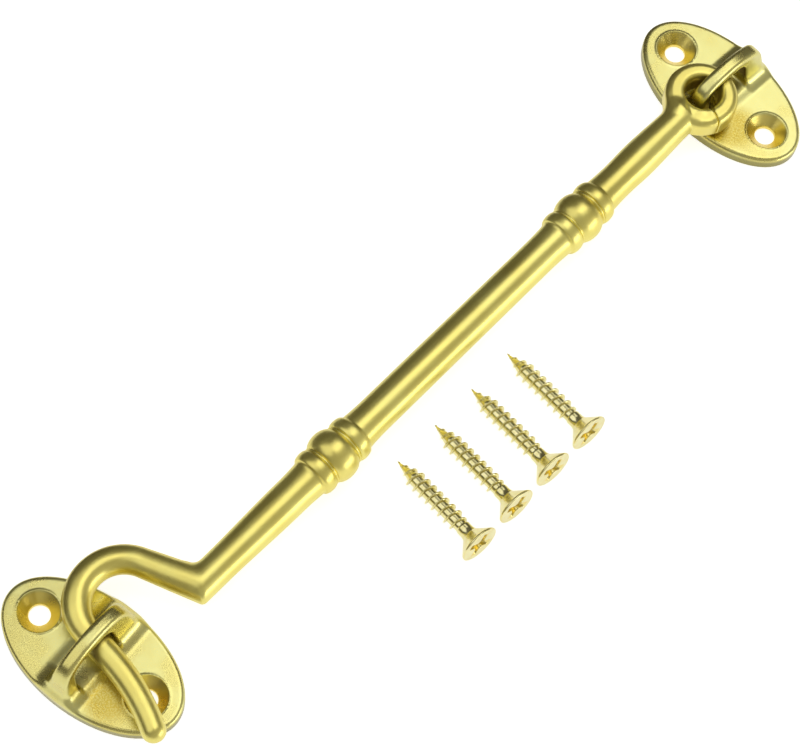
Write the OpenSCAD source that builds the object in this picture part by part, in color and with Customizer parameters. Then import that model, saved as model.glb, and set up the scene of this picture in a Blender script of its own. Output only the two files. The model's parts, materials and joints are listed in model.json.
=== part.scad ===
// Hook and eye latch: a cast arm with an eye at one end and a crook at the other, two equal eye
// plates and four countersunk wood screws. Millimetres. The plates lie on the plane z = 0, +Z points
// away from the surface they are screwed to, and the origin is the middle of the pivot plate's back.

/* [Eye plates] */
// Length of the oval plate
plate_l = 34; // [31:0.5:40]
// Width of the oval plate
plate_w = 19; // [18:0.5:22]
// Thickness of the plate's flat wings
plate_t = 2.5; // [2.3:0.1:3.2]
// Rounding of the plate's upper edge
rim_r = 1.2; // [0.6:0.1:1.6]
// Distance of a screw hole from the plate's end
hole_inset = 6; // [5.5:0.1:7]
// How much wider a screw hole is than the thread
hole_play = 0.3; // [0.1:0.1:0.8]
// How much wider a countersink is than the screw's head
sink_play = 0.1; // [0.1:0.1:0.6]

/* [Staple] */
// How far the staple's foot stays inside the plate's edge
foot_inset = 0.7; // [0.3:0.1:1]
// Thickness of a leg at the plate's face, seen from the front
leg_foot_t = 2.6; // [2:0.1:3]
// Thickness of a leg at the shoulder, seen from the front
leg_top_t = 2.6; // [2:0.1:3]
// Thickness of the crown above the opening
crown_t = 2; // [1.6:0.1:3]
// Radius of the crown seen from the front
crown_r = 13; // [11:0.1:16]
// Thickness of the staple's web
web_t = 2.2; // [1.8:0.1:2.6]
// Radius of the hollow sweep from the web down to the wings
sweep_r = 4; // [3:0.1:5]
// Rounding of the opening's upper corners
opening_r = 2; // [1:0.1:3]

/* [Eye] */
// Height of the eye
eye_h = 5.2; // [4.6:0.1:6]
// Wall of the eye
eye_wall = 3.6; // [3:0.1:4]
// Rounding of the eye's edges
eye_r = 1.3; // [0.5:0.1:1.5]
// Gap between the plate's face and the eye
eye_lift = 1.3; // [1.2:0.1:2]
// Gap between the eye and the crown above it
eye_headroom = 0.4; // [0.3:0.1:1]
// Gap between the eye's bore and the leg that it hangs on
eye_play = 0.26; // [0.2:0.02:0.6]
// How far the eye's middle lies inside the leg's
eye_shift = 0.5; // [0.3:0.05:0.8]
// Angle of the eye's seam from the arm's axis
seam_turn = 66; // [50:1:80]
// Width of the seam at the eye's middle
seam_w = 0.5; // [0.2:0.1:0.8]
// Width of the seam at the eye's rim
seam_rim_w = 0.12; // [0.1:0.02:0.4]

/* [Arm] */
// Angle of the closed arm to the pivot plate
arm_turn = 3.7; // [0:0.1:6]
// Diameter of the neck where it leaves the eye
neck_d = 5.8; // [4.8:0.1:6]
// Diameter of the swell between the eye and the first bead
swell_d = 6.5; // [6:0.1:7]
// Diameter of the shank at the first bead
shank_eye_d = 6.2; // [5.6:0.1:6.6]
// Diameter of the shank at the second bead
shank_hook_d = 6.4; // [5.6:0.1:6.8]
// Diameter of the shank at the elbow
elbow_d = 5.6; // [5:0.1:6.2]
// Distance of the swell from the eye's middle
swell_s = 17; // [14:0.5:20]
// Distance of the first bead from the eye's middle
bead_eye_s = 32.7; // [30:0.1:40]
// Distance of the second bead from the elbow
bead_hook_l = 30.5; // [25:0.1:38]
// Distance of the elbow from the eye's middle
elbow_s = 123.6; // [100:0.5:180]

/* [Beads] */
// Diameter of the first bead
bead_eye_d = 8.7; // [8:0.1:10]
// Diameter of the second bead
bead_hook_d = 9.2; // [8:0.1:10]
// Length of a bead between its grooves
bead_l = 5; // [4:0.1:6]
// Length of the collar on each side of a bead
collar_l = 2.9; // [2:0.1:4]
// How far a collar stands above the shank
collar_rise = 0.6; // [0.3:0.1:1]
// Depth of the grooves below the collars
groove_depth = 0.3; // [0.1:0.1:0.5]

/* [Crook] */
// Diameter of the crook's rod in its bend
rod_d = 4.8; // [4.4:0.1:5.2]
// Angle at which the rod leaves the elbow, from square to the arm
lead_turn = 22; // [15:0.1:30]
// Length of the straight lead from the elbow to the bend
lead_l = 9.8; // [8:0.1:12]
// Radius of the bend at the rod's middle
crook_r = 7.3; // [6:0.1:8]
// Angle of the tail's root, outwards from square to the arm
tail_flare = 4; // [2:0.5:6]
// Length of the tail's straight root
tail_root_l = 5; // [3:0.1:7]
// Radius of the tail's outward bow
bow_r = 36; // [30:1:50]
// Angle of the tail's outward bow
tail_bow = 19; // [14:1:22]
// Diameter of the tail from its root to its round tip
tail_d = 4.3; // [4:0.1:4.6]

/* [Catch] */
// How far below the bend the tail passes through the catch plate's staple
catch_depth = 1.9; // [1:0.1:4]
// How far the tail lies inside the middle of the catch plate's staple
tail_offset = 0.9; // [0.4:0.1:1.2]
// Gap between the tail and the sides of the opening, as the hook swings out
tail_play = 1; // [0.9:0.1:1.4]
// Angle of the catch plate to the arm
catch_turn = 5; // [0:0.5:6]

/* [Screws] */
// Length of a screw
screw_l = 20; // [16:1:25]
// Diameter over the thread
thread_d = 3.4; // [3:0.1:4]
// Diameter of the thread's core
core_d = 2.3; // [1.8:0.1:2.6]
// Diameter of the plain neck
screw_neck_d = 2.6; // [2.2:0.1:2.9]
// Length of the plain neck below the head's cone
screw_neck_l = 1.6; // [1:0.1:3]
// Diameter of the head
head_d = 7.1; // [6.5:0.1:8]
// Thickness of the head's rim
head_rim = 0.35; // [0.2:0.05:0.6]
// Pitch of the thread
thread_pitch = 1.5; // [1.2:0.1:2]
// Width of the thread's ridge at its foot
ridge_w = 0.8; // [0.6:0.05:1]
// Width of the ridge's crest
crest_w = 0.1; // [0.05:0.05:0.2]
// Length of the pointed tip
point_l = 4; // [3:0.5:5]
// Width across the cross recess
recess_w = 4.2; // [3.4:0.1:4.6]
// Depth of the cross recess
recess_depth = 1.7; // [1:0.1:2]
// Width of one arm of the cross recess
recess_arm = 0.85; // [0.6:0.05:1.2]
// Turn of the recess about the screw's axis
recess_turn = 35; // [0:1:90]
// Gap between the heads of screws lying side by side
screw_space = 1.9; // [0.5:0.1:4]
// Gap between the points of the lying screws and the line of the beads
screw_gap = 2.3; // [2:0.1:8]
// Distance of the last screw's head from the second bead, along the arm
screw_shift = 6.2; // [0:0.1:20]
// Angle of the lying screws to the arm
screw_turn = 84; // [80:1:90]

/* [Hidden] */
screw_count = 4;
$fn = 96;
brass = [0.83, 0.77, 0.38];
plated = [0.90, 0.82, 0.45];
cut = 0.2;            // overshoot that keeps a cut clear of the face it leaves
bite = 0.2;           // how far a hollow sweep runs past tangency, so that it ends in a crisp line
lap = 0.5;            // how far a straight rod runs on inside the bend
lap_step = 0.04;      // how much thinner in radius it is there, so that the bend covers it
rim_steps = 4;        // facets across the plate's rounded upper edge
rim_points = 72;      // facets around the oval

hole_d = thread_d + hole_play;
sink_d = head_d + sink_play;
hole_y = plate_l / 2 - hole_inset;

// Heights: the eye lies over the plate's face, the opening clears it and the crown closes the opening.
arm_z = plate_t + eye_lift + eye_h / 2;
opening_h = arm_z + eye_h / 2 + eye_headroom;
staple_h = opening_h + crown_t;

// The crook in the arm's plan: the arm's axis runs along -X from the eye's middle.
bead_hook_s = elbow_s - bead_hook_l;
lead_dir = [-sin(lead_turn), cos(lead_turn)];
elbow = [-elbow_s, 0];
bend_start = elbow + lead_l * lead_dir;
bend_centre = bend_start - crook_r * [cos(lead_turn), sin(lead_turn)];
bend_sweep = 180 - lead_turn - tail_flare;
bend_end = bend_centre + crook_r * [-cos(tail_flare), sin(tail_flare)];
tail_dir = [-sin(tail_flare), -cos(tail_flare)];
root_end = bend_end + tail_root_l * tail_dir;
bow_centre = root_end - bow_r * [cos(tail_flare), -sin(tail_flare)];
tail_turn = tail_flare + tail_bow;
tail_end = bow_centre + bow_r * [cos(tail_turn), -sin(tail_turn)];
tail_pass = bend_end + catch_depth * tail_dir;
catch_centre = tail_pass - [tail_offset, 0];

// At the arm's height the opening lets the tail run through it while the hook swings out.
tail_run = norm(tail_end) - norm(tail_pass);
opening_arm_w = tail_d + 2 * (tail_run - tail_offset + tail_play);
staple_foot_w = plate_w - 2 * foot_inset;
opening_foot_w = staple_foot_w - 2 * leg_foot_t;
opening_slope = (opening_foot_w - opening_arm_w) / 2 / (arm_z - plate_t);
opening_top_w = opening_foot_w - 2 * opening_slope * (opening_h - plate_t);
staple_top_w = opening_top_w + 2 * leg_top_t;
crown_z = staple_h - crown_r;
shoulder_z = crown_z + sqrt(crown_r * crown_r - staple_top_w * staple_top_w / 4);

// The eye hangs on the staple's near leg, at the arm's height, and its bore clears the leg's foot.
leg_slope = (staple_foot_w - staple_top_w) / 2 / (shoulder_z - plate_t);
function leg_outer(z) = staple_foot_w / 2 - leg_slope * (z - plate_t);
function leg_inner(z) = opening_foot_w / 2 - opening_slope * (z - plate_t);
eye_x = (leg_outer(arm_z) + leg_inner(arm_z)) / 2 - eye_shift;
bore_r = norm([leg_outer(arm_z - eye_h / 2) - eye_x, web_t / 2]) + eye_play;
eye_d = 2 * (bore_r + eye_wall);

// The elbow's mitre halves the turn between the shank and the lead.
mitre_turn = 90 + (90 + lead_turn) / 2;
mitre_run = elbow_d;  // how far both rods run past the elbow before the mitre trims them

head_h = head_rim + (head_d - screw_neck_d) / 2;
thread_start = head_h + screw_neck_l;
turns = floor((screw_l - thread_start - point_l / 2) / thread_pitch);
// A lying screw rests on its head's rim and on the last full turn of its thread.
rest_tilt = atan((head_d - thread_d) / 2 / (screw_l - point_l));
screw_pitch = head_d + screw_space;
screw_row_s = bead_hook_s - screw_shift;
screw_row_y = bead_hook_d / 2 + screw_gap + screw_l * sin(screw_turn);

// Points of a round bulge of revolution from s = a to s = b, with radius ra at its ends and rb between.
function bulge(a, b, ra, rb, n) = [
    for (i = [0:n]) let (turn = 180 * i / n)
        [ra + (rb - ra) * sin(turn), (a + b) / 2 - (b - a) / 2 * cos(turn)]
];

// Points of a smooth run from radius ra at s = a to radius rb at s = b, level at both ends.
function ease(a, b, ra, rb, n = 6) = [
    for (i = [0:n]) let (u = i / n) [ra + (rb - ra) * u * u * (3 - 2 * u), a + (b - a) * u]
];

// Points of a bead with its two collars; ra and rb are the shank's radii before and after it.
function bead_group(s, bead_d, ra, rb) = concat(
    bulge(s - bead_l / 2 - collar_l, s - bead_l / 2, ra + collar_rise - groove_depth, ra + collar_rise, 6),
    bulge(s - bead_l / 2, s + bead_l / 2, (ra + rb) / 2 + collar_rise - groove_depth, bead_d / 2, 10),
    bulge(s + bead_l / 2, s + bead_l / 2 + collar_l, rb + collar_rise - groove_depth, rb + collar_rise, 6)
);

// Places what is drawn in the arm's plan: the eye's middle at the origin, the arm along -X.
module arm_plan() {
    translate([-eye_x, 0, 0]) rotate([0, 0, arm_turn]) children();
}

// The oval plate: ellipses stacked from the back up over the rounded edge to the flat face.
module oval_plate() {
    levels = concat([[0, 0]], [for (k = [0:rim_steps]) let (a = 90 * k / rim_steps)
        [rim_r * (1 - cos(a)), plate_t - rim_r + rim_r * sin(a)]]);
    points = [for (level = levels, i = [0:rim_points - 1]) let (a = 360 * i / rim_points)
        [(plate_w / 2 - level[0]) * cos(a), (plate_l / 2 - level[0]) * sin(a), level[1]]];
    top = rim_points * (len(levels) - 1);
    sides = [for (k = [0:len(levels) - 2], i = [0:rim_points - 1])
        let (a = k * rim_points + i, b = k * rim_points + (i + 1) % rim_points)
        each [[a, a + rim_points, b], [b, a + rim_points, b + rim_points]]];
    back = [for (i = [0:rim_points - 1]) i];
    face = [for (i = [rim_points - 1:-1:0]) top + i];
    polyhedron(points, concat(sides, [back, face]));
}

// Outline of the staple from the front, between its slanting legs; the crown's disc ends it above.
module staple_outline() {
    top_z = staple_h + cut;
    half_top = staple_foot_w / 2 - leg_slope * (top_z - plate_t);
    half_foot = staple_foot_w / 2 + leg_slope * plate_t / 2;
    polygon([[half_foot, plate_t / 2], [half_top, top_z], [-half_top, top_z], [-half_foot, plate_t / 2]]);
}

// Hollow sweeps from the web out to the wings, seen from the side.
module staple_sweep() {
    reach = web_t / 2 + sweep_r - bite;
    difference() {
        translate([-reach, 0]) square([2 * reach, plate_t + sweep_r - bite]);
        for (side = [-1, 1]) translate([side * reach, plate_t + sweep_r - bite]) circle(sweep_r);
    }
}

// The web: a disc with a round edge, which is the crown's.
module staple_web() {
    flat_r = crown_r - web_t / 2;
    translate([0, 0, crown_z]) rotate([90, 0, 0]) rotate_extrude() {
        translate([0, -web_t / 2]) square([flat_r, web_t]);
        translate([flat_r, 0]) intersection() {
            circle(d = web_t);
            translate([0, -web_t]) square(2 * web_t);
        }
    }
}

module staple_opening() {
    corner_w = opening_top_w / 2 - opening_r;
    polygon([
        [opening_foot_w / 2, plate_t], [opening_top_w / 2, opening_h - opening_r],
        [corner_w, opening_h], [-corner_w, opening_h],
        [-opening_top_w / 2, opening_h - opening_r], [-opening_foot_w / 2, plate_t],
        [-opening_foot_w / 2, 0], [opening_foot_w / 2, 0]
    ]);
    for (side = [-1, 1]) translate([side * corner_w, opening_h - opening_r]) circle(opening_r);
}

module staple() {
    depth = 2 * (web_t / 2 + sweep_r);
    difference() {
        intersection() {
            union() {
                staple_web();
                rotate([90, 0, 90]) linear_extrude(plate_w, center = true) staple_sweep();
            }
            rotate([90, 0, 0]) linear_extrude(depth, center = true) staple_outline();
        }
        rotate([90, 0, 0]) linear_extrude(depth + 1, center = true) staple_opening();
    }
}

module screw_hole() {
    sink_h = (sink_d - hole_d) / 2 + cut;
    translate([0, 0, -cut]) cylinder(d = hole_d, h = plate_t + 2 * cut);
    translate([0, 0, plate_t + cut - sink_h]) cylinder(d1 = hole_d, d2 = sink_d + 2 * cut, h = sink_h);
}

module eye_plate() {
    color(brass) difference() {
        union() {
            oval_plate();
            staple();
        }
        for (side = [-1, 1]) translate([0, side * hole_y, 0]) screw_hole();
    }
}

module pivot_plate() {
    eye_plate();
}

module catch_plate() {
    arm_plan() translate(catch_centre) rotate([0, 0, catch_turn]) eye_plate();
}

// The eye: a round-edged ring whose end meets the neck at a seam.
module eye_ring() {
    difference() {
        rotate_extrude() translate([bore_r, -eye_h / 2]) {
            translate([eye_r, 0]) square([eye_wall - 2 * eye_r, eye_h]);
            translate([0, eye_r]) square([eye_wall, eye_h - 2 * eye_r]);
            for (x = [eye_r, eye_wall - eye_r], y = [eye_r, eye_h - eye_r]) translate([x, y]) circle(eye_r);
        }
        rotate(180 + seam_turn) linear_extrude(eye_h + 1, center = true)
            polygon([[0, -seam_w / 2], [eye_d / 2, -seam_rim_w / 2], [eye_d / 2 + cut, -seam_rim_w / 2],
                [eye_d / 2 + cut, seam_rim_w / 2], [eye_d / 2, seam_rim_w / 2], [0, seam_w / 2]]);
    }
}

// The turned shank from inside the eye's wall to past the elbow, where the mitre trims it.
module shank() {
    start_s = bore_r + eye_wall / 2;
    group = bead_l / 2 + collar_l;
    profile = concat(
        [[0, start_s], [neck_d / 2, start_s]],
        ease(eye_d / 2, swell_s, neck_d / 2, swell_d / 2),
        ease(swell_s, bead_eye_s - group, swell_d / 2, shank_eye_d / 2),
        bead_group(bead_eye_s, bead_eye_d, shank_eye_d / 2, shank_eye_d / 2),
        [[shank_eye_d / 2, bead_eye_s + group], [shank_hook_d / 2, bead_hook_s - group]],
        bead_group(bead_hook_s, bead_hook_d, shank_hook_d / 2, shank_hook_d / 2),
        ease(bead_hook_s + group, elbow_s, shank_hook_d / 2, elbow_d / 2),
        [[elbow_d / 2, elbow_s + mitre_run], [0, elbow_s + mitre_run]]
    );
    difference() {
        rotate([0, -90, 0]) rotate_extrude() polygon(profile);
        mitre_block(1);
    }
}

// Half of space at the elbow's mitre plane: side 1 lies towards the crook, side -1 towards the shank.
module mitre_block(side) {
    size = 4 * elbow_d;
    translate(elbow) rotate(mitre_turn) translate([side * size / 2, 0, 0]) cube(size, center = true);
}

module crook() {
    joint_r = rod_d / 2 - lap_step;
    bow_joint_r = tail_d / 2 - lap_step;
    difference() {
        translate(bend_start) rotate([-90, 0, lead_turn]) translate([0, 0, -lead_l - mitre_run])
            cylinder(r1 = elbow_d / 2, r2 = joint_r, h = lead_l + mitre_run + lap);
        translate(-bite * lead_dir) mitre_block(-1);
    }
    translate(bend_centre) rotate(lead_turn)
        rotate_extrude(angle = bend_sweep) translate([crook_r, 0]) circle(d = rod_d);
    translate(bend_end) rotate([90, 0, -tail_flare]) translate([0, 0, -lap])
        cylinder(r1 = joint_r, r2 = bow_joint_r, h = tail_root_l + 2 * lap);
    translate(bow_centre) rotate(-tail_turn)
        rotate_extrude(angle = tail_bow) translate([bow_r, 0]) circle(d = tail_d);
    tip = [for (a = [0:15:90]) bow_joint_r * [cos(a), sin(a)]];
    translate(tail_end) rotate([90, 0, -tail_turn])
        rotate_extrude() polygon(concat([[0, -lap], [bow_joint_r, -lap]], tip));
}

module hook_arm() {
    color(brass) arm_plan() translate([0, 0, arm_z]) {
        eye_ring();
        shank();
        crook();
    }
}

// One screw along +Z, its head's face at z = 0 and its point at z = screw_l.
module wood_screw() {
    function taper(z) = min(1, (screw_l - z) / point_l);
    thread = [for (i = [0:turns - 1]) let (z = thread_start + i * thread_pitch) each [
        [core_d / 2 * taper(z), z],
        [thread_d / 2 * taper(z + ridge_w / 2), z + (ridge_w - crest_w) / 2],
        [thread_d / 2 * taper(z + ridge_w / 2), z + (ridge_w + crest_w) / 2],
        [core_d / 2 * taper(z + ridge_w), z + ridge_w]
    ]];
    difference() {
        rotate_extrude() polygon(concat(
            [[0, 0], [head_d / 2, 0], [head_d / 2, head_rim], [screw_neck_d / 2, head_h],
                [screw_neck_d / 2, thread_start - cut]],
            thread, [[0, screw_l]]
        ));
        intersection() {
            for (turn = [0, 90]) rotate(turn) translate([0, 0, recess_depth / 2])
                cube([recess_w, recess_arm, recess_depth + 2 * cut], center = true);
            translate([0, 0, -cut])
                cylinder(d1 = recess_w + 2 * cut, d2 = recess_arm, h = recess_depth + cut);
        }
    }
}

module screw(index) {
    head_z = head_d / 2 * cos(rest_tilt) + head_rim * sin(rest_tilt);
    color(plated) arm_plan()
        translate([-screw_row_s + (index - 1) * screw_pitch, -screw_row_y, head_z])
        rotate([0, 90 + rest_tilt, screw_turn]) rotate(recess_turn) wood_screw();
}

pivot_plate();
hook_arm();
catch_plate();
for (i = [1:screw_count]) screw(i);
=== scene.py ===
# %% [markdown]
# A hook and eye latch in satin brass. Two cast eye plates carry the latch, a cast arm joins them, and
# four screws lie beside it. The solids in the frame fix every size and place. This script gives them
# the soft edges of a casting, rolled threads, a finish and a studio.

# %% Load the frame
import json
import math

import bmesh
import bpy
import numpy as np
from mathutils import Matrix, Vector


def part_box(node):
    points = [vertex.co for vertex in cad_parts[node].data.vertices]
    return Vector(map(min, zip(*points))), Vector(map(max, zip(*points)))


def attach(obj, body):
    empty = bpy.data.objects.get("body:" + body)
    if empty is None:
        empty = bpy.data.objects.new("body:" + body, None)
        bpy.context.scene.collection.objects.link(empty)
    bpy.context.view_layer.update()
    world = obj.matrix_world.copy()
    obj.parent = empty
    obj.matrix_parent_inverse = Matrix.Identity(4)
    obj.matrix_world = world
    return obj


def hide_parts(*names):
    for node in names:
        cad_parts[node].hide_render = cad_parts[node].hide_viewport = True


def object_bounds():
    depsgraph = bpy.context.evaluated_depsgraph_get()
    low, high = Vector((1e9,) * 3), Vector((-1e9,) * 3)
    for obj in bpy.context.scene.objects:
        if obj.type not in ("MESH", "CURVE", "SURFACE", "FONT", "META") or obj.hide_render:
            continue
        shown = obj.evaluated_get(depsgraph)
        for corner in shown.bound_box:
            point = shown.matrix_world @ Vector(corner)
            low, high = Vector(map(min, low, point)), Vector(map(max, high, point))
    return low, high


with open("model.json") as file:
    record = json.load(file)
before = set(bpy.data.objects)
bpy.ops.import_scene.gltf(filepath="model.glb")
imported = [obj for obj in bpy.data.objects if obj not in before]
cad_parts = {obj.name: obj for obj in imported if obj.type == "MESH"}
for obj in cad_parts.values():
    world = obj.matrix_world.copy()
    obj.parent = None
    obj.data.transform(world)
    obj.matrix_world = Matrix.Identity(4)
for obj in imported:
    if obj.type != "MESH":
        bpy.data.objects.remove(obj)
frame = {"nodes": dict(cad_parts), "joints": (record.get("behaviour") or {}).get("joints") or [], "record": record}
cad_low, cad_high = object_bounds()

MM = 0.001
print("nodes", sorted(frame["nodes"]))

# %% [markdown]
# The frame says where things are: the joint gives the eye's middle, and the mounts give both plates
# and their screw holes. Reading them here keeps the looks in step with the construction.

# %% Places from the frame
mounts = {mount["name"]: mount for mount in frame["record"]["mounts"]}
swing = frame["joints"][0]
eye_place = Vector(swing["pos_m"])
pivot_place = Vector(mounts["pivot_screws"]["pos_m"])
catch_place = Vector(mounts["catch_screws"]["pos_m"])
hole_r = mounts["pivot_screws"]["dims"]["hole_r_mm"]
hole_y = mounts["pivot_screws"]["dims"]["spacing_y_mm"] / 2
plate_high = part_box("pivot_plate")[1] / MM
arm_turn = math.radians(3.7)
catch_turn = arm_turn + math.radians(5)
print("eye at", [round(v / MM, 2) for v in eye_place], "plate top at", round(plate_high.z, 2))

# %% [markdown]
# Blender's node trees do the sums for shapes and finishes alike. Wiring Math nodes one by one is slow
# to read, so a small class wraps a socket: `a + b`, `1 - a` or `abs(a)` then adds the Math node by
# itself. Every other node comes from one method, which sets the node's options before its sockets.

# %% Sockets as numbers
class Board:
    """A node tree that adds any node by its type, settings and sockets."""

    def __init__(self, tree):
        self.tree = tree

    def add(self, kind, settings=None, sockets=None, out=0):
        node = self.tree.nodes.new(kind)
        for name, value in (settings or {}).items():
            setattr(node, name, value)
        for key, value in (sockets or {}).items():
            if isinstance(value, Wire):
                self.tree.links.new(value.socket, node.inputs[key])
            else:
                node.inputs[key].default_value = value
        return Wire(self, node.outputs[out])

    def mix(self, factor, first, second):
        return self.add("ShaderNodeMix", {"data_type": "RGBA"}, {0: factor, 6: first, 7: second}, 2)


class Wire:
    """A socket of a board. Python's operators on it add Math nodes."""

    def __init__(self, board, socket):
        self.board = board
        self.socket = socket

    def sum(self, operation, first, second=0.0):
        return self.board.add("ShaderNodeMath", {"operation": operation}, {0: first, 1: second})

    def __add__(self, other):
        return self.sum("ADD", self, other)

    def __radd__(self, other):
        return self.sum("ADD", other, self)

    def __sub__(self, other):
        return self.sum("SUBTRACT", self, other)

    def __rsub__(self, other):
        return self.sum("SUBTRACT", other, self)

    def __mul__(self, other):
        return self.sum("MULTIPLY", self, other)

    def __rmul__(self, other):
        return self.sum("MULTIPLY", other, self)

    def __truediv__(self, other):
        return self.sum("DIVIDE", self, other)

    def __rtruediv__(self, other):
        return self.sum("DIVIDE", other, self)

    def __neg__(self):
        return self.sum("MULTIPLY", self, -1.0)

    def __abs__(self):
        return self.sum("ABSOLUTE", self)

    def least(self, other):
        return self.sum("MINIMUM", self, other)

    def most(self, other):
        return self.sum("MAXIMUM", self, other)

    def root(self):
        return self.sum("SQRT", self)

    def ease(self, low, high, low_value=0.0, high_value=1.0):
        sockets = {0: self, 1: low, 2: high, 3: low_value, 4: high_value}
        return self.board.add("ShaderNodeMapRange", {"interpolation_type": "SMOOTHSTEP"}, sockets)

    def output(self, name):
        return Wire(self.board, self.socket.node.outputs[name])


# %% [markdown]
# A casting has no sharp inside corners: metal flows round them. Such shapes are hard to model edge by
# edge, so they are described by distance fields instead. A field gives the distance to a surface,
# below zero inside. Two fields meet in a round fillet, or in a round edge, of a chosen radius.

# %% Fields that meet in fillets
def length(first, second):
    return (first * first + second * second).root()


def join(first, second, radius):
    """Both solids, with a hollow fillet where they meet."""
    corner = length((radius - first).most(0.0), (radius - second).most(0.0))
    return first.least(second).most(radius) - corner


def overlap(first, second, radius):
    """What both solids share, with a round edge where their faces meet."""
    corner = length((first + radius).most(0.0), (second + radius).most(0.0))
    return first.most(second).least(-1.0 * radius) + corner


def carve(solid, tool, radius):
    return overlap(solid, -tool, radius)


def new_tree(name, inputs):
    """A geometry tree with named number inputs, its board and its group input's wires."""
    tree = bpy.data.node_groups.new(name, "GeometryNodeTree")
    tree.interface.new_socket(name="Geometry", in_out="INPUT", socket_type="NodeSocketGeometry")
    for label, kind in inputs.items():
        tree.interface.new_socket(name=label, in_out="INPUT", socket_type=f"NodeSocket{kind}")
    tree.interface.new_socket(name="Geometry", in_out="OUTPUT", socket_type="NodeSocketGeometry")
    board = Board(tree)
    start = board.add("NodeGroupInput")
    return board, {label: start.output(label) for label in ("Geometry", *inputs)}


def end_tree(board, geometry, material):
    """Realize Instances and Set Material close every tree."""
    whole = board.add("GeometryNodeRealizeInstances", None, {0: geometry})
    smooth = board.add("GeometryNodeSetShadeSmooth", None, {0: whole})
    dressed = board.add("GeometryNodeSetMaterial", None, {0: smooth, 2: material})
    output = board.tree.nodes.new("NodeGroupOutput")
    board.tree.links.new(dressed.socket, output.inputs[0])


def run_tree(name, tree, values, base=None):
    """Runs a tree on a new object and keeps the result as a plain mesh."""
    piece = bpy.data.objects.new(name, base or bpy.data.meshes.new(name))
    bpy.context.scene.collection.objects.link(piece)
    modifier = piece.modifiers.new("shape", "NODES")
    modifier.node_group = tree
    for item in tree.interface.items_tree:
        if item.in_out == "INPUT" and item.name in values:
            modifier[item.identifier] = values[item.name]
    depsgraph = bpy.context.evaluated_depsgraph_get()
    mesh = bpy.data.meshes.new_from_object(piece.evaluated_get(depsgraph))
    piece.modifiers.remove(modifier)
    piece.data = mesh
    mesh.name = name
    print(name, len(mesh.polygons), "faces")
    return piece


def mesh_field(board, field, low, high, voxel):
    """Fills a block with a field and keeps the surface where it is zero; millimetres."""
    counts = [math.ceil((b - a) / voxel) for a, b in zip(low, high)]
    inside = 0.5
    sockets = {"Density": inside - field, "Min": low, "Max": high}
    sockets |= {f"Resolution {axis}": count for axis, count in zip("XYZ", counts)}
    block = board.add("GeometryNodeVolumeCube", None, sockets)
    return board.add("GeometryNodeVolumeToMesh", None, {"Volume": block, "Threshold": inside})


def mark(board, shell, marks):
    """Stores each named field on the points, for the finish to read."""
    for name, value in marks.items():
        sockets = {"Geometry": shell, "Name": name, "Value": value}
        shell = board.add("GeometryNodeStoreNamedAttribute", None, sockets)
    return shell


# %% [markdown]
# The finish is satin brass: fully metallic, pale yellow where it meets white light. A casting keeps a
# fine sandy grain on flat wings that no polishing wheel reaches, and a wheel leaves faint streaks on
# round bars. Both come from noise that moves the bump and the colour a little. The piece carries marks
# that the finish reads: a countersink gets a more orange, machined tone, and a bore, a tunnel, the plate
# round the leg under the eye and the plate's lower rim get painted shade, dark colour where shadow falls.

# %% Brass
BRASS = (0.90, 0.81, 0.25)
BRASS_DEEP = (0.86, 0.74, 0.20)
CAST = (0.77, 0.73, 0.29)
CAST_DEEP = (0.73, 0.65, 0.22)
BRASS_ORANGE = (0.96, 0.78, 0.19)
# Painted shade: a dark brown for the inside of the eye's bore, the plates' tunnels and the plate round the leg
# under the eye.
PAINTED_SHADE = (0.13, 0.085, 0.02)
# Painted shade for the plates' lower rims: the dark reflection of the shadow beneath them.
PAINTED_EDGE_SHADE = (0.30, 0.27, 0.09)
CAST_RAW = (0.52, 0.38, 0.05)
PLATING = (0.82, 0.74, 0.34)
PLATING_PALE = (0.92, 0.85, 0.46)
PLATING_SUNK = (0.86, 0.68, 0.16)


def new_finish(name):
    material = bpy.data.materials.new(name)
    material.use_nodes = True
    board = Board(material.node_tree)
    shader = material.node_tree.nodes["Principled BSDF"]
    shader.inputs["Metallic"].default_value = 1.0
    return material, board, shader


def read_mark(board, name):
    return board.add("ShaderNodeAttribute", {"attribute_name": name}, None, "Fac")


def feed(board, shader, **wires):
    for name, wire in wires.items():
        board.tree.links.new(wire.socket, shader.inputs[name.replace("_", " ")])


def noise(board, place, per_mm, detail=2.0, stretch=(1, 1, 1)):
    scaled = board.add("ShaderNodeVectorMath", {"operation": "MULTIPLY"}, {0: place, 1: stretch})
    sockets = {"Vector": scaled, "Scale": per_mm / MM, "Detail": detail, "Roughness": 0.6}
    return board.add("ShaderNodeTexNoise", None, sockets)


def arm_finish():
    material, board, shader = new_finish("satin_brass")
    place = board.add("ShaderNodeTexCoord", None, None, "Object")
    streak = noise(board, place, 1.3, 3.0, (0.06, 1, 1))
    cloud = noise(board, place, 0.12, 2.0)
    grain = noise(board, place, 4.0, 2.0)
    deep = read_mark(board, "deep")
    colour = board.mix((cloud * 0.7 + streak * 0.3).ease(0.35, 0.7), (*BRASS_DEEP, 1), (*BRASS, 1))
    # Painted shade inside the eye's bore.
    colour = board.mix(deep, colour, (*PAINTED_SHADE, 1))
    rough = 0.30 + 0.06 * streak.ease(0.3, 0.7) + 0.05 * cloud
    bump_sockets = {"Strength": 0.25, "Distance": 0.02 * MM, "Height": grain * 0.5 + streak * 0.5}
    bump = board.add("ShaderNodeBump", None, bump_sockets)
    feed(board, shader, Base_Color=colour, Roughness=rough, Normal=bump)
    return material


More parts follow.
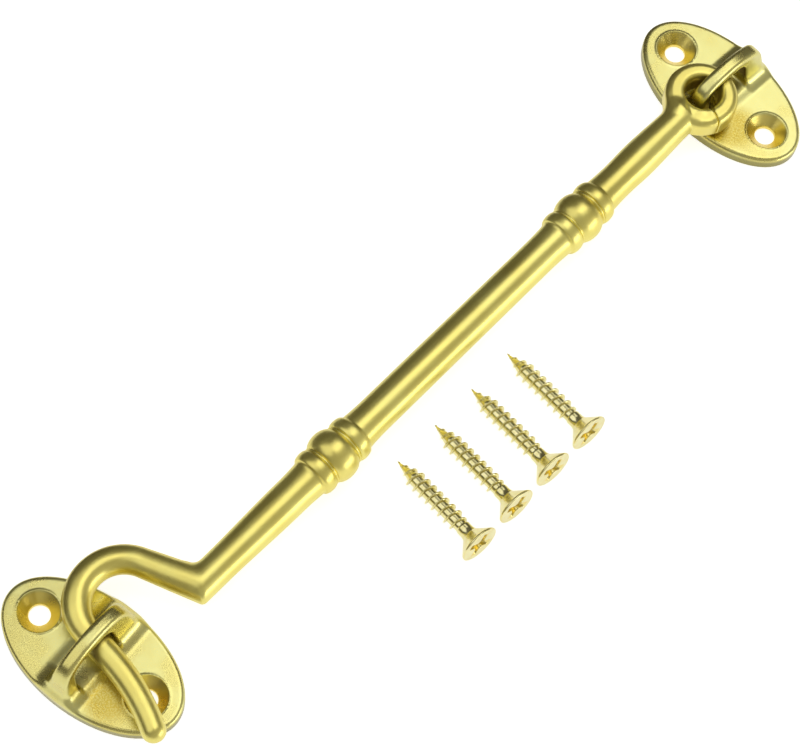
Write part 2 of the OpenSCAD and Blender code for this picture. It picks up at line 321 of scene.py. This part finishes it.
def plate_finish():
    material, board, shader = new_finish("cast_brass")
    place = board.add("ShaderNodeTexCoord", None, None, "Object")
    sunk = read_mark(board, "sunk")
    deep = read_mark(board, "deep")
    edge = read_mark(board, "edge")
    raw = read_mark(board, "raw")
    sand = noise(board, place, 3.6, 3.0)
    cloud = noise(board, place, 0.15, 2.0)
    speck = sand.ease(0.56, 0.72)
    colour = board.mix(cloud.ease(0.35, 0.65), (*CAST_DEEP, 1), (*CAST, 1))
    colour = board.mix(sunk.least(1.0) * 0.8, colour, (*BRASS_ORANGE, 1))
    colour = board.mix(raw * (0.5 + 0.5 * sand.ease(0.42, 0.58)), colour, (*CAST_RAW, 1))
    colour = board.mix(speck * 0.5, colour, (*BRASS_ORANGE, 1))
    # Painted shade: the plate's lower rim darkens as if it mirrored the shadow beneath it.
    colour = board.mix(edge * 0.9, colour, (*PAINTED_EDGE_SHADE, 1))
    # Painted shade in the tunnel and round the leg under the eye.
    colour = board.mix(deep, colour, (*PAINTED_SHADE, 1))
    rough = 0.25 + 0.12 * speck + 0.05 * cloud
    bump_sockets = {"Strength": 0.4, "Distance": 0.04 * MM, "Height": sand}
    bump = board.add("ShaderNodeBump", None, bump_sockets)
    feed(board, shader, Base_Color=colour, Roughness=rough, Normal=bump)
    return material


def screw_finish():
    material, board, shader = new_finish("plated_screw")
    place = board.add("ShaderNodeTexCoord", None, None, "Object")
    cloud = noise(board, place, 0.8, 2.0)
    sunk = read_mark(board, "sunk")
    colour = board.mix(cloud.ease(0.3, 0.7), (*PLATING, 1), (*PLATING_PALE, 1))
    colour = board.mix(sunk.least(1.0) * 0.5, colour, (*PLATING_SUNK, 1))
    feed(board, shader, Base_Color=colour, Roughness=0.14 + 0.12 * cloud)
    return material


satin_brass = arm_finish()
cast_brass = plate_finish()
plated_screw = screw_finish()
print("finishes", [m.name for m in (satin_brass, cast_brass, plated_screw)])

# %% [markdown]
# Each eye plate is an oval with two countersunk holes and a staple that rises from it in hollow sweeps.
# On the real part it is one casting. It could be modelled face by face, but it is hard to make such
# sweeps meet cleanly, so one field describes it: a thin web that widens at its foot joins the plate's
# face in a fillet, and the oval, the tunnel and the holes are then cut with round edges. The field also
# marks the countersinks and the raw corner by the staple, and where painted shade goes: the tunnel's
# walls and roof, the plate round the leg under the eye, and the plate's lower rim.

# %% Eye plates
PLATE_T = 2.5
PLATE_SIZES = {
    "Half width": plate_high.x,
    "Half length": plate_high.y,
    "Thickness": PLATE_T,
    "Staple height": plate_high.z,
    "Rim radius": 0.85,
    "Web thickness": 2.6,
    "Web flare": 1.3,
    "Sweep radius": 2.2,
    "Crown radius": 13.0,
    "Foot width": 17.6,
    "Leg slope": 0.197,
    "Tunnel width": 9.8,
    "Tunnel shift": 1.05,
    "Tunnel slope": 0.1,
    "Tunnel height": plate_high.z - 2.0,
    "Hole distance": hole_y,
    "Hole radius": hole_r - 0.1,
    "Sink radius": 3.45,
    "Eye place": (eye_place.x - pivot_place.x) / MM,
    "Corner place": 4.0,
    "Corner reach": 6.6,
}
PLATE_VOXEL = 0.15
TOE_H = 1.6
TOE_OUT = 0.6
CROWN_ROUND = 1.6
WEB_ROUND = 0.85
TUNNEL_ROUND = 2.2
TUNNEL_FOOT = 0.9
TUNNEL_SILL = 0.4
LIP_R = 0.2
EYE_SHADE_R = 2.75
EYE_SHADE_TOP = 6.5
RAW_R = 5.6


def plate_field(board, size):
    spot = board.add("ShaderNodeSeparateXYZ", None, {0: board.add("GeometryNodeInputPosition")})
    x = abs(spot)
    y = abs(spot.output("Y"))
    z = spot.output("Z")
    half_w = size["Half width"]
    half_l = size["Half length"]
    above = z - size["Thickness"]

    reach = length(x / half_w, y / half_l).most(0.01)
    steep = length(x / (half_w * half_w), y / (half_l * half_l)).most(0.0001)
    oval = reach * (reach - 1.0) / steep

    crown = length(x, z - (size["Staple height"] - size["Crown radius"])) - size["Crown radius"]
    toe = (1.0 - above / TOE_H).most(0.0)
    legs = (x - size["Foot width"] / 2.0 + size["Leg slope"] * above - TOE_OUT * toe * toe) * 0.9
    outline = overlap(crown, legs, CROWN_ROUND)
    drop = 1.0 - above.most(0.0) / (size["Staple height"] - size["Thickness"])
    half_web = size["Web thickness"] / 2.0 + size["Web flare"] * drop * drop
    web = overlap(y - half_web, outline, WEB_ROUND)
    saddle = join(web, above, size["Sweep radius"])
    body = overlap(saddle, oval, size["Rim radius"])
    body = overlap(body, -z, 0.2)

    sides = abs(spot + size["Tunnel shift"]) - size["Tunnel width"] / 2.0 + size["Tunnel slope"] * above
    roof = z - size["Tunnel height"]
    tunnel = overlap(overlap(sides, roof, TUNNEL_ROUND), TUNNEL_SILL - above, TUNNEL_FOOT)
    body = carve(body, tunnel, 0.5)
    # Painted shade on the tunnel's walls and roof.
    deep = (0.3 - abs(tunnel)).ease(0.0, 0.25) * above.ease(1.0, 3.0)

    # Painted shade round the staple's leg inside the eye's bore, on the pivot plate only.
    leg = length(spot - size["Eye place"], y)
    shade = (EYE_SHADE_R - leg).ease(0.0, 0.5) * (EYE_SHADE_TOP - z).ease(0.0, 2.0) * size["Eye shade"]

    around = length(x, y - size["Hole distance"])
    lip = length(around - size["Sink radius"], above) - LIP_R
    body = join(body, lip, LIP_R)
    cone = ((around - size["Sink radius"] - above) * 0.707).most(around - size["Sink radius"] - 0.3)
    body = carve(body, (around - size["Hole radius"]).least(cone), 0.1)
    sunk = (size["Sink radius"] + 0.15 - around).ease(0.0, 0.5)
    # Painted shade on the plate's rim below its top face: the dark reflection of the shadow under the plate.
    edge = oval.ease(-0.45, -0.05) * (size["Thickness"] - 0.3 - z).ease(0.0, 0.8)
    corner = length(spot + size["Corner place"], spot.output("Y") + size["Corner reach"])
    raw = (RAW_R - corner).ease(0.0, 3.6)
    return body, {"sunk": sunk, "deep": deep.most(shade), "edge": edge, "raw": raw}


def plate_tree():
    inputs = {name: "Float" for name in PLATE_SIZES}
    inputs |= {"Eye shade": "Float", "Place": "Vector", "Turn": "Rotation"}
    board, size = new_tree("eye_plate_casting", inputs)
    field, marks = plate_field(board, size)
    reach = [value + 0.6 for value in plate_high]
    low = (-reach[0], -reach[1], -0.6)
    shell = mesh_field(board, field, low, reach, PLATE_VOXEL)
    marked = mark(board, shell, marks)
    sockets = {"Geometry": marked, "Translation": size["Place"], "Rotation": size["Turn"]}
    sockets["Scale"] = (MM,) * 3
    placed = board.add("GeometryNodeTransform", None, sockets)
    end_tree(board, placed, cast_brass)
    return board.tree


def dress(piece, body, slot, *nodes):
    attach(piece, body)
    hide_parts(*nodes)


plate_shape = plate_tree()
places = (("pivot_plate", pivot_place, 0.0, 1.0), ("catch_plate", catch_place, catch_turn, 0.0))
for node, place, turn, shade in places:
    placing = {"Place": place, "Turn": (0.0, 0.0, turn), "Eye shade": shade}
    plate = run_tree(f"{node}_casting", plate_shape, PLATE_SIZES | placing)
    dress(plate, "plates", "plate_brass", node)

# %% [markdown]
# The arm's eye is a ring with round edges that runs into the shank on one side and shows a seam on the
# other, where it was closed round the staple's leg. It is a field too. The shank beyond it is round,
# so rings of points are the better way there, and the two are bridged.

# %% The eye
EYE_H = 5.2
EYE_WALL = 3.6
BORE_R = 2.8
NECK_R = 2.95
SWELL_R = 3.25
SWELL_S = 17.0
CUT_S = 13.0
SEAM_TURN = math.radians(246)
EYE_VOXEL = 0.14
EYE_ROUND = 1.35
EYE_SIZES = {
    "Bore radius": BORE_R,
    "Wall": EYE_WALL,
    "Height": EYE_H,
    "Neck radius": NECK_R,
    "Swell radius": SWELL_R,
}


def eye_field(board, size):
    spot = board.add("ShaderNodeSeparateXYZ", None, {0: board.add("GeometryNodeInputPosition")})
    x = spot
    y = spot.output("Y")
    z = abs(spot.output("Z"))
    around = length(x, y)
    outer = length(x + 0.3, y) - (size["Bore radius"] + size["Wall"])
    stub = (-y).ease(1.0, 3.5) * x.ease(-1.5, -3.5)
    band = outer.most(size["Bore radius"] - around)
    ring = overlap(band, z - size["Height"] / 2.0 + stub * 0.35, EYE_ROUND)

    neck_r = (-x).ease(BORE_R + EYE_WALL, SWELL_S, size["Neck radius"], size["Swell radius"])
    neck = length(y, z) - neck_r
    neck = overlap(neck, x + BORE_R + 1.9, 0.6)
    eye = join(ring, neck, y.ease(-1.5, 1.5, 0.15, 1.6))
    eye = carve(eye, around - size["Bore radius"], 0.8)

    along = x * math.cos(SEAM_TURN) + y * math.sin(SEAM_TURN)
    across = abs(y * math.cos(SEAM_TURN) - x * math.sin(SEAM_TURN))
    notch = (size["Bore radius"] + 1.3 - around).most(0.0) * 0.35 + 0.1
    seam = (across - notch).most(-along).most(-0.45 - eye)
    # Painted shade on the bore's wall, fading towards its rims.
    deep = (size["Bore radius"] + 0.35 - around).ease(0.0, 0.4) * (size["Height"] / 2.0 - z).ease(0.2, 1.4)
    return carve(eye, seam, 0.1), {"deep": deep}


def eye_tree():
    board, size = new_tree("eye_casting", {name: "Float" for name in EYE_SIZES})
    field, marks = eye_field(board, size)
    reach = BORE_R + EYE_WALL + 0.8
    low = (-CUT_S - 1.0, -reach, -4.0)
    shell = mesh_field(board, field, low, (reach, reach, 4.0), EYE_VOXEL)
    end_tree(board, mark(board, shell, marks), satin_brass)
    return board.tree


eye = run_tree("hook_arm_casting", eye_tree(), EYE_SIZES)

# %% [markdown]
# The shank is a row of rings: a profile gives the radius at each distance from the eye. A revolved
# curve could make it as well, but the bar bends at the elbow, and rings can follow it there. Each group
# of beads is a slice of a ball between two collars and grooves. At the elbow every line along the bar
# bends at the mitre plane, rounded a little, and the crook then follows an arc and a bowed tail.

# %% Profile of the shank
BEAD_EYE_S = 32.7
BEAD_HOOK_S = 93.1
ELBOW_S = 123.6
SHANK_EYE_R = 3.1
SHANK_HOOK_R = 3.15
ELBOW_R = 2.8
BEAD_HALF = 2.4
GROOVE_W = 0.45
GROUP = 5.2
FLARE_L = 5.0
SHOULDER_H = 0.62
BEAD_EYE_R = 4.35
BEAD_HOOK_R = 4.55


def smooth(first, last, low, high, count):
    share = np.linspace(0, 1, count)
    return [(first + (last - first) * u, low + (high - low) * u * u * (3 - 2 * u)) for u in share]


def bulge(first, last, foot, top, count):
    turn = np.linspace(0, math.pi, count)
    middle = (first + last) / 2
    half = (last - first) / 2
    return [(middle - half * math.cos(a), foot + (top - foot) * math.sin(a) ** 0.8) for a in turn]


def collar(shank_r):
    """From the shank's flare outwards to the groove: a crisp step, then a rounded shoulder."""
    flare = [(FLARE_L * (u - 1), shank_r + 0.22 * u * u) for u in np.linspace(0, 1, 12)]
    turn = np.linspace(0, math.pi, 16)
    width = GROUP - BEAD_HALF - GROOVE_W
    foot = shank_r + 0.32
    runs = [width * (1 - math.cos(a)) / 2 for a in turn]
    rises = [SHOULDER_H * math.sin(a) ** 0.7 * (0.75 + 0.25 * a / math.pi) for a in turn]
    shoulder = [(run, foot + rise) for run, rise in zip(runs, rises)]
    thread = bulge(width, width + GROOVE_W, foot + 0.06, foot + 0.3, 9)
    return flare + shoulder + thread


def ball(s, half, foot, top, count):
    """A slice of a ball whose edges roll over into the grooves."""
    run = [-half * math.cos(a) for a in np.linspace(0, math.pi, count)]
    roll = [math.sqrt(max(0.0, 1 - (d / half) ** 6)) for d in run]
    return [(s + d, foot + (math.sqrt(top * top - d * d) - foot) * share) for d, share in zip(run, roll)]


def beads(s, shank_r, bead_r):
    half = collar(shank_r)
    points = [(s - GROUP + d, r) for d, r in half]
    points += ball(s, BEAD_HALF, shank_r + 0.4, bead_r, 32)
    points += [(s + GROUP - d, r) for d, r in reversed(half)]
    return points


def shank_profile():
    start = GROUP + FLARE_L
    points = [(s, r) for s, r in smooth(BORE_R + EYE_WALL, SWELL_S, NECK_R, SWELL_R, 30) if s > CUT_S]
    points += smooth(SWELL_S, BEAD_EYE_S - start, SWELL_R, SHANK_EYE_R, 12)[1:]
    points += beads(BEAD_EYE_S, SHANK_EYE_R, BEAD_EYE_R)
    points += smooth(BEAD_EYE_S + start, BEAD_HOOK_S - start, SHANK_EYE_R, SHANK_HOOK_R, 24)[1:]
    points += beads(BEAD_HOOK_S, SHANK_HOOK_R, BEAD_HOOK_R)
    points += smooth(BEAD_HOOK_S + start, ELBOW_S - 3.6, SHANK_HOOK_R, ELBOW_R, 16)[1:]
    kept = [points[0]]
    for s, r in points[1:]:
        if s - kept[-1][0] > 0.004:
            kept.append((s, r))
    return kept


profile = shank_profile()
print("shank profile", len(profile), "rings")

# %% Rings along the arm
SIDES = 72
BEND_R = 2.42
TAIL_R = 2.17
TIP_R = 2.0
LEAD_TURN = math.radians(22)
LEAD_L = 9.8
CROOK_R = 7.3
THIN_TURN = math.radians(140)
TAIL_FLARE = math.radians(4)
ROOT_L = 5.0
BOW_R = 36.0
TAIL_BOW = math.radians(21)
TAIL_END_L = 0.6
turns = np.linspace(0, 2 * math.pi, SIDES, endpoint=False)
up = np.array([0.0, 0.0, 1.0])


def ring(centre, sideways, radius):
    """Points round a bar whose section lies in the plane of `sideways` and the vertical."""
    return centre + radius * (np.outer(np.cos(turns), sideways) + np.outer(np.sin(turns), up))


def spoke(angle):
    return np.array([math.cos(angle), math.sin(angle), 0.0])


def elbow_rings(elbow, along, lead):
    """Each line along the bar turns at the mitre plane, on a short curve."""
    normal = (along + lead) / np.linalg.norm(along + lead)
    start = ring(elbow, np.array([0.0, 1.0, 0.0]), ELBOW_R)
    corner = start - np.outer((start - elbow) @ normal / (along @ normal), along)
    outside = 0.5 - 0.5 * np.cos(turns)
    round_l = (1.2 - 0.5 * outside)[:, None]
    before = corner - round_l * along
    after = corner + round_l * lead
    for u in np.linspace(0, 1, 9):
        yield (1 - u) ** 2 * before + 2 * u * (1 - u) * corner + u**2 * after


def crook_rings(elbow, lead):
    """The lead, the bend that thins towards the tail, the tail's root and its outward bow."""
    across = spoke(LEAD_TURN)
    for u in np.linspace(0.42, 1.0, 8):
        yield ring(elbow + u * LEAD_L * lead, across, ELBOW_R + (BEND_R - ELBOW_R) * u)
    middle = elbow + LEAD_L * lead - CROOK_R * across
    last = math.pi - TAIL_FLARE
    for angle in np.linspace(LEAD_TURN, last, 56)[1:]:
        u = max(0.0, (angle - THIN_TURN) / (last - THIN_TURN))
        radius = BEND_R + (TAIL_R - BEND_R) * u * u * (3 - 2 * u)
        yield ring(middle + CROOK_R * spoke(angle), spoke(angle), radius)
    bend_end = middle + CROOK_R * spoke(last)
    root = np.array([-math.sin(TAIL_FLARE), -math.cos(TAIL_FLARE), 0.0])
    for u in np.linspace(0, 1, 6)[1:]:
        yield ring(bend_end + u * ROOT_L * root, spoke(last), TAIL_R)
    bow = bend_end + ROOT_L * root + BOW_R * spoke(last)
    for turn in np.linspace(0, TAIL_BOW, 18)[1:]:
        radius = TAIL_R + (TIP_R - TAIL_R) * turn / TAIL_BOW
        yield ring(bow - BOW_R * spoke(last - turn), spoke(last - turn), radius)
    tail = np.array([-math.sin(TAIL_FLARE + TAIL_BOW), -math.cos(TAIL_FLARE + TAIL_BOW), 0.0])
    tail_end = bow - BOW_R * spoke(last - TAIL_BOW) + TAIL_END_L * tail
    for a in np.linspace(0, math.pi / 2, 10):
        yield ring(tail_end + TIP_R * math.sin(a) * tail, spoke(last - TAIL_BOW), TIP_R * math.cos(a))


def arm_rings():
    along = np.array([-1.0, 0.0, 0.0])
    rows = [ring(s * along, np.array([0.0, 1.0, 0.0]), r) for s, r in profile]
    lead = np.array([-math.sin(LEAD_TURN), math.cos(LEAD_TURN), 0.0])
    elbow = ELBOW_S * along
    rows += list(elbow_rings(elbow, along, lead))
    rows += list(crook_rings(elbow, lead))
    return rows[:-1], rows[-1][0]


rows, tip = arm_rings()
print("arm", len(rows), "rings")

# %% Bridge the eye and the shank
def build_arm(piece):
    shape = bmesh.new()
    shape.from_mesh(piece.data)
    cut = {"plane_co": (-CUT_S, 0, 0), "plane_no": (-1, 0, 0), "clear_outer": True}
    everything = list(shape.verts) + list(shape.edges) + list(shape.faces)
    bmesh.ops.bisect_plane(shape, geom=everything, **cut)
    mouth = [edge for edge in shape.edges if edge.is_boundary]
    shape.faces.ensure_lookup_table()
    finish = shape.faces[0].material_index
    loops = [[shape.verts.new(point) for point in row] for row in rows]
    for first, second in zip(loops, loops[1:]):
        for i in range(SIDES):
            j = (i + 1) % SIDES
            shape.faces.new((first[i], first[j], second[j], second[i]))
    end = shape.verts.new(tip)
    for i in range(SIDES):
        shape.faces.new((loops[-1][i], loops[-1][(i + 1) % SIDES], end))
    first = loops[0]
    start = [shape.edges.get((first[i], first[(i + 1) % SIDES])) for i in range(SIDES)]
    bmesh.ops.bridge_loops(shape, edges=mouth + start)
    bmesh.ops.recalc_face_normals(shape, faces=shape.faces)
    for face in shape.faces:
        face.smooth = True
        face.material_index = finish
    open_edges = sum(1 for edge in shape.edges if edge.is_boundary)
    placing = Matrix.Translation(eye_place) @ Matrix.Rotation(arm_turn, 4, "Z") @ Matrix.Scale(MM, 4)
    shape.transform(placing)
    shape.to_mesh(piece.data)
    shape.free()
    print(piece.name, len(piece.data.polygons), "faces,", open_edges, "open edges")


build_arm(eye)
dress(eye, "arm", "arm_brass", "hook_arm")

# %% [markdown]
# The four screws are alike: a head with a cross recess, a plain neck and a rolled thread that runs out
# at the point. The neck and core are one turned mesh. A tree adds the head, which is a field so that the
# recess keeps clean edges, and a spiral that carries the thread's section. A boolean cutter would also
# sink the recess, but can leave loose faces. The same tree then lays copies on four points in a row.

# %% Screws
SCREW_L = 20.0
HEAD_R = 3.55
HEAD_RIM = 0.35
SCREW_NECK_R = 1.3
CORE_R = 1.15
THREAD_R = 1.7
POINT_L = 4.0
THREAD_PITCH = 1.5
NECK_END = 4.2
SCREW_COUNT = 4
SCREW_SPACE = 9.0
SCREW_S = 86.9
SCREW_Y = 26.79
HEAD_VOXEL = 0.11
THREAD_FOOT = 0.28
THREAD_CREST = 0.05
RECESS_TURN = math.radians(35)
screw_tilt = math.atan((2 * HEAD_R - 2 * THREAD_R) / 2 / (SCREW_L - POINT_L))
screw_turn = math.radians(84)


def turned_shaft():
    """Neck, core and point as one turned solid along +Z, from inside the head; millimetres."""
    points = [(2.0, SCREW_NECK_R + 0.32), (2.3, SCREW_NECK_R + 0.22), (2.6, SCREW_NECK_R + 0.12)]
    points += [(2.9, SCREW_NECK_R + 0.04), (3.2, SCREW_NECK_R), (3.3, SCREW_NECK_R)]
    points += [(NECK_END - 0.2, SCREW_NECK_R), (NECK_END - 0.1, SCREW_NECK_R), (NECK_END + 0.1, CORE_R)]
    points += [(NECK_END + 0.2, CORE_R), (SCREW_L - POINT_L - 0.3, CORE_R), (SCREW_L - POINT_L, CORE_R)]
    points += [(SCREW_L - POINT_L + 0.3, CORE_R * 0.93), (SCREW_L - 0.6, 0.19), (SCREW_L - 0.3, 0.12)]
    shape = bmesh.new()
    sides = 48
    angles = [2 * math.pi * i / sides for i in range(sides)]
    loops = [[shape.verts.new((r * math.cos(a), r * math.sin(a), z)) for a in angles] for z, r in points]
    for first, second in zip(loops, loops[1:]):
        for i in range(sides):
            j = (i + 1) % sides
            shape.faces.new((first[i], first[j], second[j], second[i]))
    shape.faces.new(reversed(loops[0]))
    end = shape.verts.new((0, 0, SCREW_L))
    for i in range(sides):
        shape.faces.new((loops[-1][i], loops[-1][(i + 1) % sides], end))
    bmesh.ops.recalc_face_normals(shape, faces=shape.faces)
    mesh = bpy.data.meshes.new("turned_shaft")
    shape.to_mesh(mesh)
    shape.free()
    return mesh


SCREW_SIZES = {
    "Pitch": THREAD_PITCH,
    "Thread radius": THREAD_R,
    "Head radius": HEAD_R,
    "Recess width": 4.9,
    "Recess arm": 1.1,
    "Recess depth": 1.7,
}


def head_field(board, size):
    """The countersunk head and its cross recess, whose arms narrow with depth."""
    spot = board.add("ShaderNodeSeparateXYZ", None, {0: board.add("GeometryNodeInputPosition")})
    x = abs(spot)
    y = abs(spot.output("Y"))
    z = spot.output("Z")
    around = length(x, y)
    cone = (around + z - size["Head radius"] - HEAD_RIM) * 0.707
    head = overlap(overlap(around - size["Head radius"], cone, 0.12), -z, 0.18).most(z - 2.6)
    deep = z / size["Recess depth"]
    reach = size["Recess width"] / 2.0 * (1.0 - 0.7 * deep)
    half = size["Recess arm"] / 2.0 * (1.0 - 0.3 * deep)
    cross = (x - reach).most(y - half).least((y - reach).most(x - half))
    cross = cross.least(around - size["Recess arm"] * (1.0 - 0.4 * deep)).most(z - size["Recess depth"])
    return carve(head, cross, 0.12), {"sunk": (0.12 - cross).ease(0.0, 0.12)}


def screw_head(board, size):
    field, marks = head_field(board, size)
    shell = mesh_field(board, field, (-3.9, -3.9, -0.3), (3.9, 3.9, 2.9), HEAD_VOXEL)
    return mark(board, shell, marks)


def thread(board, size):
    """A spiral whose radius and section shrink towards the point."""
    run = SCREW_L - NECK_END
    turns_up = run / size["Pitch"]
    sockets = {"Resolution": 40, "Rotations": turns_up, "Height": run}
    sockets |= {"Start Radius": 1.0, "End Radius": 1.0}
    spiral = board.add("GeometryNodeCurveSpiral", None, sockets)
    spot = board.add("GeometryNodeInputPosition")
    z = board.add("ShaderNodeSeparateXYZ", None, {0: spot}).output("Z")
    taper = ((run - z) / POINT_L).least(1.0).most(0.02)
    growth = (z / (size["Pitch"] * 0.6)).least(1.0).most(0.05)
    root_r = (CORE_R - 0.12) * taper
    scale = board.add("ShaderNodeCombineXYZ", None, {0: root_r, 1: root_r, 2: 1.0})
    place = board.add("ShaderNodeVectorMath", {"operation": "MULTIPLY"}, {0: spot, 1: scale})
    spiral = board.add("GeometryNodeSetPosition", None, {"Geometry": spiral, "Position": place})
    upright = board.add("GeometryNodeSetCurveNormal", {"mode": "Z_UP"}, {"Curve": spiral})
    tall = size["Thread radius"] - CORE_R + 0.12
    sockets = {"Point 1": (0.0, THREAD_FOOT, 0), "Point 4": (0.0, -THREAD_FOOT, 0)}
    for key, half in (("Point 2", THREAD_CREST), ("Point 3", -THREAD_CREST)):
        sockets[key] = board.add("ShaderNodeCombineXYZ", None, {0: -tall, 1: half, 2: 0.0})
    section = board.add("GeometryNodeCurvePrimitiveQuadrilateral", {"mode": "POINTS"}, sockets)
    grown = taper.most(0.25) * growth
    sockets = {"Curve": upright, "Profile Curve": section, "Scale": grown, "Fill Caps": True}
    ridge = board.add("GeometryNodeCurveToMesh", None, sockets)
    return board.add("GeometryNodeTransform", None, {"Geometry": ridge, "Translation": (0, 0, NECK_END)})


def screw_tree():
    inputs = {name: "Float" for name in SCREW_SIZES}
    inputs |= {"First head": "Vector", "Step": "Vector", "Lie": "Rotation"}
    board, size = new_tree("wood_screws", inputs)
    screw = board.add("GeometryNodeJoinGeometry", None, {0: size["Geometry"]})
    for part in (screw_head(board, size), thread(board, size)):
        board.tree.links.new(part.socket, screw.socket.node.inputs[0])
    sockets = {"Geometry": screw, "Rotation": (0, 0, RECESS_TURN), "Scale": (MM,) * 3}
    rolled = board.add("GeometryNodeTransform", None, sockets)
    sockets = {"Count": SCREW_COUNT, "Start Location": size["First head"], "Offset": size["Step"]}
    line = board.add("GeometryNodeMeshLine", None, sockets)
    sockets = {"Points": line, "Instance": rolled, "Rotation": size["Lie"]}
    copies = board.add("GeometryNodeInstanceOnPoints", None, sockets)
    end_tree(board, copies, plated_screw)
    return board.tree


def lay_screws():
    along = Matrix.Rotation(arm_turn, 3, "Z")
    lie = along.to_euler()
    lie.rotate_axis("Z", screw_turn)
    lie.rotate_axis("Y", math.pi / 2 + screw_tilt)
    head = eye_place + along @ Vector((-SCREW_S * MM, -SCREW_Y * MM, 0))
    head.z = (HEAD_R * math.cos(screw_tilt) + HEAD_RIM * math.sin(screw_tilt)) * MM
    step = along @ Vector((SCREW_SPACE * MM, 0, 0))
    values = SCREW_SIZES | {"First head": head, "Step": step, "Lie": lie}
    return run_tree("loose_screws", screw_tree(), values, turned_shaft())


screws = lay_screws()
dress(screws, "plates", "screw_plating", *[f"screw_{i + 1}" for i in range(SCREW_COUNT)])

# %% [markdown]
# The studio: a pale floor, a large soft box overhead, a low strip in front and a box at the side. Metal
# shows only what it mirrors, so each bright band on the bars is one of these lamps, and a dark card
# behind the latch and a dim far wall give the bars their darker side. The floor shows white to the
# camera and pale in the metal, and still takes the latch's shadow.

# %% Studio
SOFT_BOXES = (
    ("overhead_box", (0.35, 0.06, 0.93), 0.69, 0.40, 0.62, 1.5),
    ("front_strip", (0.33, -0.93, 0.13), 0.65, 0.55, 0.15, 3.4),
    ("side_box", (-0.45, 0.36, 0.82), 0.7, 0.66, 0.62, 0.9),
)
FLOOR_SEEN = 0.75
FLOOR_MIRRORED = 0.5
WALL_DIM = (0.11, 0.105, 0.09, 1)
WALL_PALE = (0.42, 0.41, 0.37, 1)


def soft_lamp(name, towards, distance, width, height, level):
    """A soft box that faces the latch; level is about how white it looks in a mirror."""
    lamp = bpy.data.lights.new(name, "AREA")
    lamp.shape = "RECTANGLE"
    lamp.size = width
    lamp.size_y = height
    lamp.energy = level * width * height * math.pi
    holder = bpy.data.objects.new(name, lamp)
    bpy.context.scene.collection.objects.link(holder)
    direction = Vector(towards).normalized()
    holder.location = latch_middle + direction * distance
    holder.rotation_euler = direction.to_track_quat("Z", "Y").to_euler()
    return holder


def flat_sheet(name, x_low, x_high, y_low, y_high, z):
    mesh = bpy.data.meshes.new(name)
    corners = [(x_low, y_low, z), (x_high, y_low, z), (x_high, y_high, z), (x_low, y_high, z)]
    mesh.from_pydata(corners, [], [(0, 1, 2, 3)])
    sheet = bpy.data.objects.new(name, mesh)
    bpy.context.scene.collection.objects.link(sheet)
    return sheet


def floor_finish():
    material = bpy.data.materials.new("pale_floor")
    material.use_nodes = True
    board = Board(material.node_tree)
    material.node_tree.nodes.remove(material.node_tree.nodes["Principled BSDF"])
    rays = board.add("ShaderNodeLightPath")
    seen = (rays + rays.output("Is Transmission Ray")) * FLOOR_SEEN
    seen = seen + rays.output("Is Glossy Ray") * FLOOR_MIRRORED
    matt = board.add("ShaderNodeBsdfDiffuse", None, {"Color": (0.8, 0.8, 0.8, 1)})
    white = board.add("ShaderNodeEmission", None, {"Strength": seen})
    both = board.add("ShaderNodeAddShader", None, {0: matt, 1: white})
    board.tree.links.new(both.socket, material.node_tree.nodes["Material Output"].inputs["Surface"])
    return material


def card_finish():
    material = bpy.data.materials.new("dark_card")
    material.use_nodes = True
    shader = material.node_tree.nodes["Principled BSDF"]
    shader.inputs["Base Color"].default_value = (0.05, 0.04, 0.02, 1)
    shader.inputs["Roughness"].default_value = 1.0
    return material


latch_middle = (cad_low + cad_high) / 2
floor = flat_sheet("floor", -4, 4, -4, 4, -0.0001)
floor.data.materials.append(floor_finish())
card = flat_sheet("dark_card", -0.45, 0.25, 0.019, 0.6, 0.0005)
card.data.materials.append(card_finish())
for rays in ("visible_camera", "visible_diffuse", "visible_shadow"):
    setattr(card, rays, False)
for soft_box in SOFT_BOXES:
    soft_lamp(*soft_box)

world = bpy.data.worlds.new("studio_walls")
bpy.context.scene.world = world
world.use_nodes = True
walls = Board(world.node_tree)
towards = walls.add("ShaderNodeTexCoord", None, None, "Generated")
front = -walls.add("ShaderNodeSeparateXYZ", None, {0: towards}).output("Y")
tone = walls.mix(front.ease(-0.35, 0.75), WALL_DIM, WALL_PALE)
walls.tree.links.new(tone.socket, world.node_tree.nodes["Background"].inputs["Color"])
print("studio ready")

# %% [markdown]
# The camera stands where the photograph was taken from: high above the latch, turned so that the arm
# runs from the lower left to the upper right.

# %% Camera
CAMERA_PLACE = Vector((-215.85, -104.42, 384.89)) * MM
CAMERA_TURN = (23.680, -4.143, -43.610)
LENS_MM = 114.05
camera_data = bpy.data.cameras.new("camera")
camera_data.lens = LENS_MM
camera_data.sensor_width = 36.0
camera_data.clip_start = 0.01
camera = bpy.data.objects.new("camera", camera_data)
camera.location = CAMERA_PLACE
camera.rotation_euler = [math.radians(angle) for angle in CAMERA_TURN]
bpy.context.scene.collection.objects.link(camera)
bpy.context.scene.camera = camera
bpy.context.scene.view_settings.view_transform = "Standard"
print("camera at", [round(v, 3) for v in camera.location])
